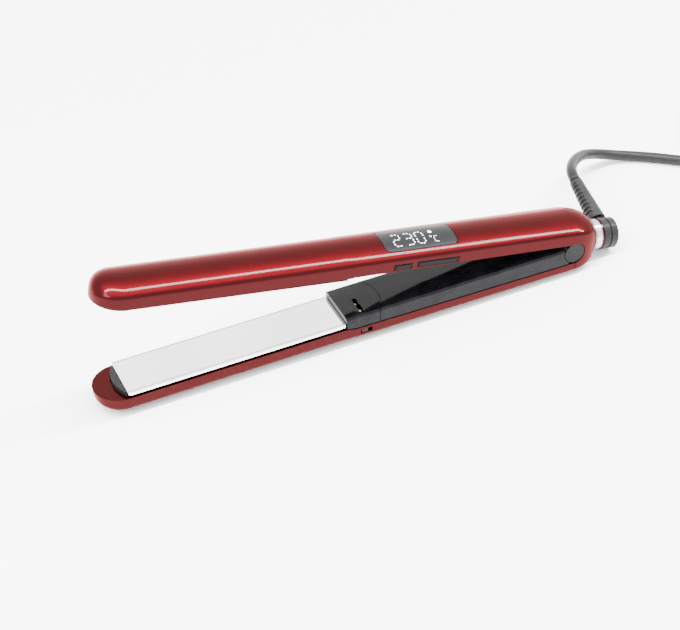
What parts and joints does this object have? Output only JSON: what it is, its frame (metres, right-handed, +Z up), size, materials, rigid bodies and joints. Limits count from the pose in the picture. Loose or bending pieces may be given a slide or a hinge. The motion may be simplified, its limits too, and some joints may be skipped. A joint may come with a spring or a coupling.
{
  "type": "hair straightener",
  "caption": "Hair straightener lying open: two slim arched arms on a rear sprung hinge, floating heated plates, display, side buttons, ion outlet, swivel cord with a coil and plug.",
  "frame": {"origin": "under the middle of the straightener's length and width, on the table it lies on; the cord is left out of this middle", "axes": "+X towards the cord end, +Y to the back as it lies with its buttons to the front, +Z up"},
  "size_m": [0.4908, 0.1109, 0.0711],
  "materials": {
    "red_shell": "deep red metallic lacquer, glossy",
    "gloss_black": "polished black",
    "matte_dark": "fine satin dark grey",
    "plate_coating": "polished coated plate",
    "trim_silver": "bright trim with a fine raised pattern",
    "steel": "plain",
    "heater_ceramic": "unglazed",
    "cord_rubber": "matte black flexible jacket",
    "board_green": "circuit board",
    "brass": "plain",
    "silicone": "soft pad"
  },
  "bodies": {
    "upper_arm": {"upper_shell": "red_shell", "display_window": "gloss_black", "upper_lid": "gloss_black", "upper_lid_screw_1": "steel", "upper_lid_screw_2": "steel", "control_board": "board_green", "display_module": "matte_dark", "power_switch": "matte_dark", "up_switch": "matte_dark", "down_switch": "matte_dark", "upper_carrier": "matte_dark", "upper_pad_1": "silicone", "upper_pad_2": "silicone", "hinge_bracket": "gloss_black", "hinge_pin": "steel", "hinge_spring_left": "steel", "hinge_spring_right": "steel", "neck_collar": "red_shell", "trim_ring": "trim_silver", "neck_flange": "red_shell", "neck_sleeve": "matte_dark", "cord": "cord_rubber", "cord_coil": "cord_rubber", "coil_tie": "matte_dark", "plug_body": "cord_rubber", "plug_pin_1": "trim_silver", "plug_pin_2": "trim_silver"},
    "upper_plate_set": {"upper_plate": "plate_coating", "upper_heater": "heater_ceramic", "thermostat": "trim_silver"},
    "lower_arm": {"lower_shell": "red_shell", "nose_lid": "gloss_black", "lower_lid": "gloss_black", "lower_carrier": "matte_dark", "lower_pad_1": "silicone", "lower_pad_2": "silicone", "ion_emitter": "matte_dark", "ion_needle_1": "brass", "ion_needle_2": "brass", "ion_board": "board_green", "ion_generator": "matte_dark", "ion_board_screw_1": "steel", "ion_board_screw_2": "steel"},
    "lower_plate_set": {"lower_plate": "plate_coating", "lower_heater": "heater_ceramic", "thermal_fuse": "trim_silver"},
    "ion_switch": {"ion_switch": "matte_dark"},
    "power_button": {"power_button": "matte_dark"},
    "temperature_rocker": {"temperature_rocker": "matte_dark"},
    "cord_swivel": {"swivel_cap": "matte_dark", "strain_relief": "cord_rubber"}
  },
  "joints": [
    {"name": "arm_hinge", "type": "hinge", "parent": "upper_arm", "child": "lower_arm", "pos_m": [0.10743, 0, 0.0128], "axis": [0, 1, 0], "range_deg": [0, 11.1], "stiffness_Nm_per_rad": 0.5, "springref_deg": -57.3},
    {"name": "cord_swivel_spin", "type": "hinge", "parent": "upper_arm", "child": "cord_swivel", "pos_m": [0.1309, 0, 0.00881], "axis": [0.9813, 0, -0.1925], "continuous": true},
    {"name": "upper_plate_float", "type": "slide", "parent": "upper_arm", "child": "upper_plate_set", "axis": [0.1925, 0, 0.9813], "range_m": [0, 0.0005], "stiffness_N_per_m": 2000, "springref_m": -0.0006},
    {"name": "lower_plate_float", "type": "slide", "parent": "lower_arm", "child": "lower_plate_set", "axis": [0, 0, -1], "range_m": [0, 0.0005], "stiffness_N_per_m": 2000, "springref_m": -0.0006},
    {"name": "power_button_press", "type": "slide", "parent": "upper_arm", "child": "power_button", "axis": [0, 1, 0], "range_m": [0, 0.0005], "stiffness_N_per_m": 1500, "springref_m": -0.0003},
    {"name": "temperature_rocker_tilt", "type": "hinge", "parent": "upper_arm", "child": "temperature_rocker", "pos_m": [0.03383, -0.0108, 0.03347], "axis": [0.1925, 0, 0.9813], "range_deg": [-2, 2], "stiffness_Nm_per_rad": 0.4},
    {"name": "ion_switch_slide", "type": "slide", "parent": "lower_arm", "child": "ion_switch", "axis": [1, 0, 0], "range_m": [0, 0.0016]}
  ]
}
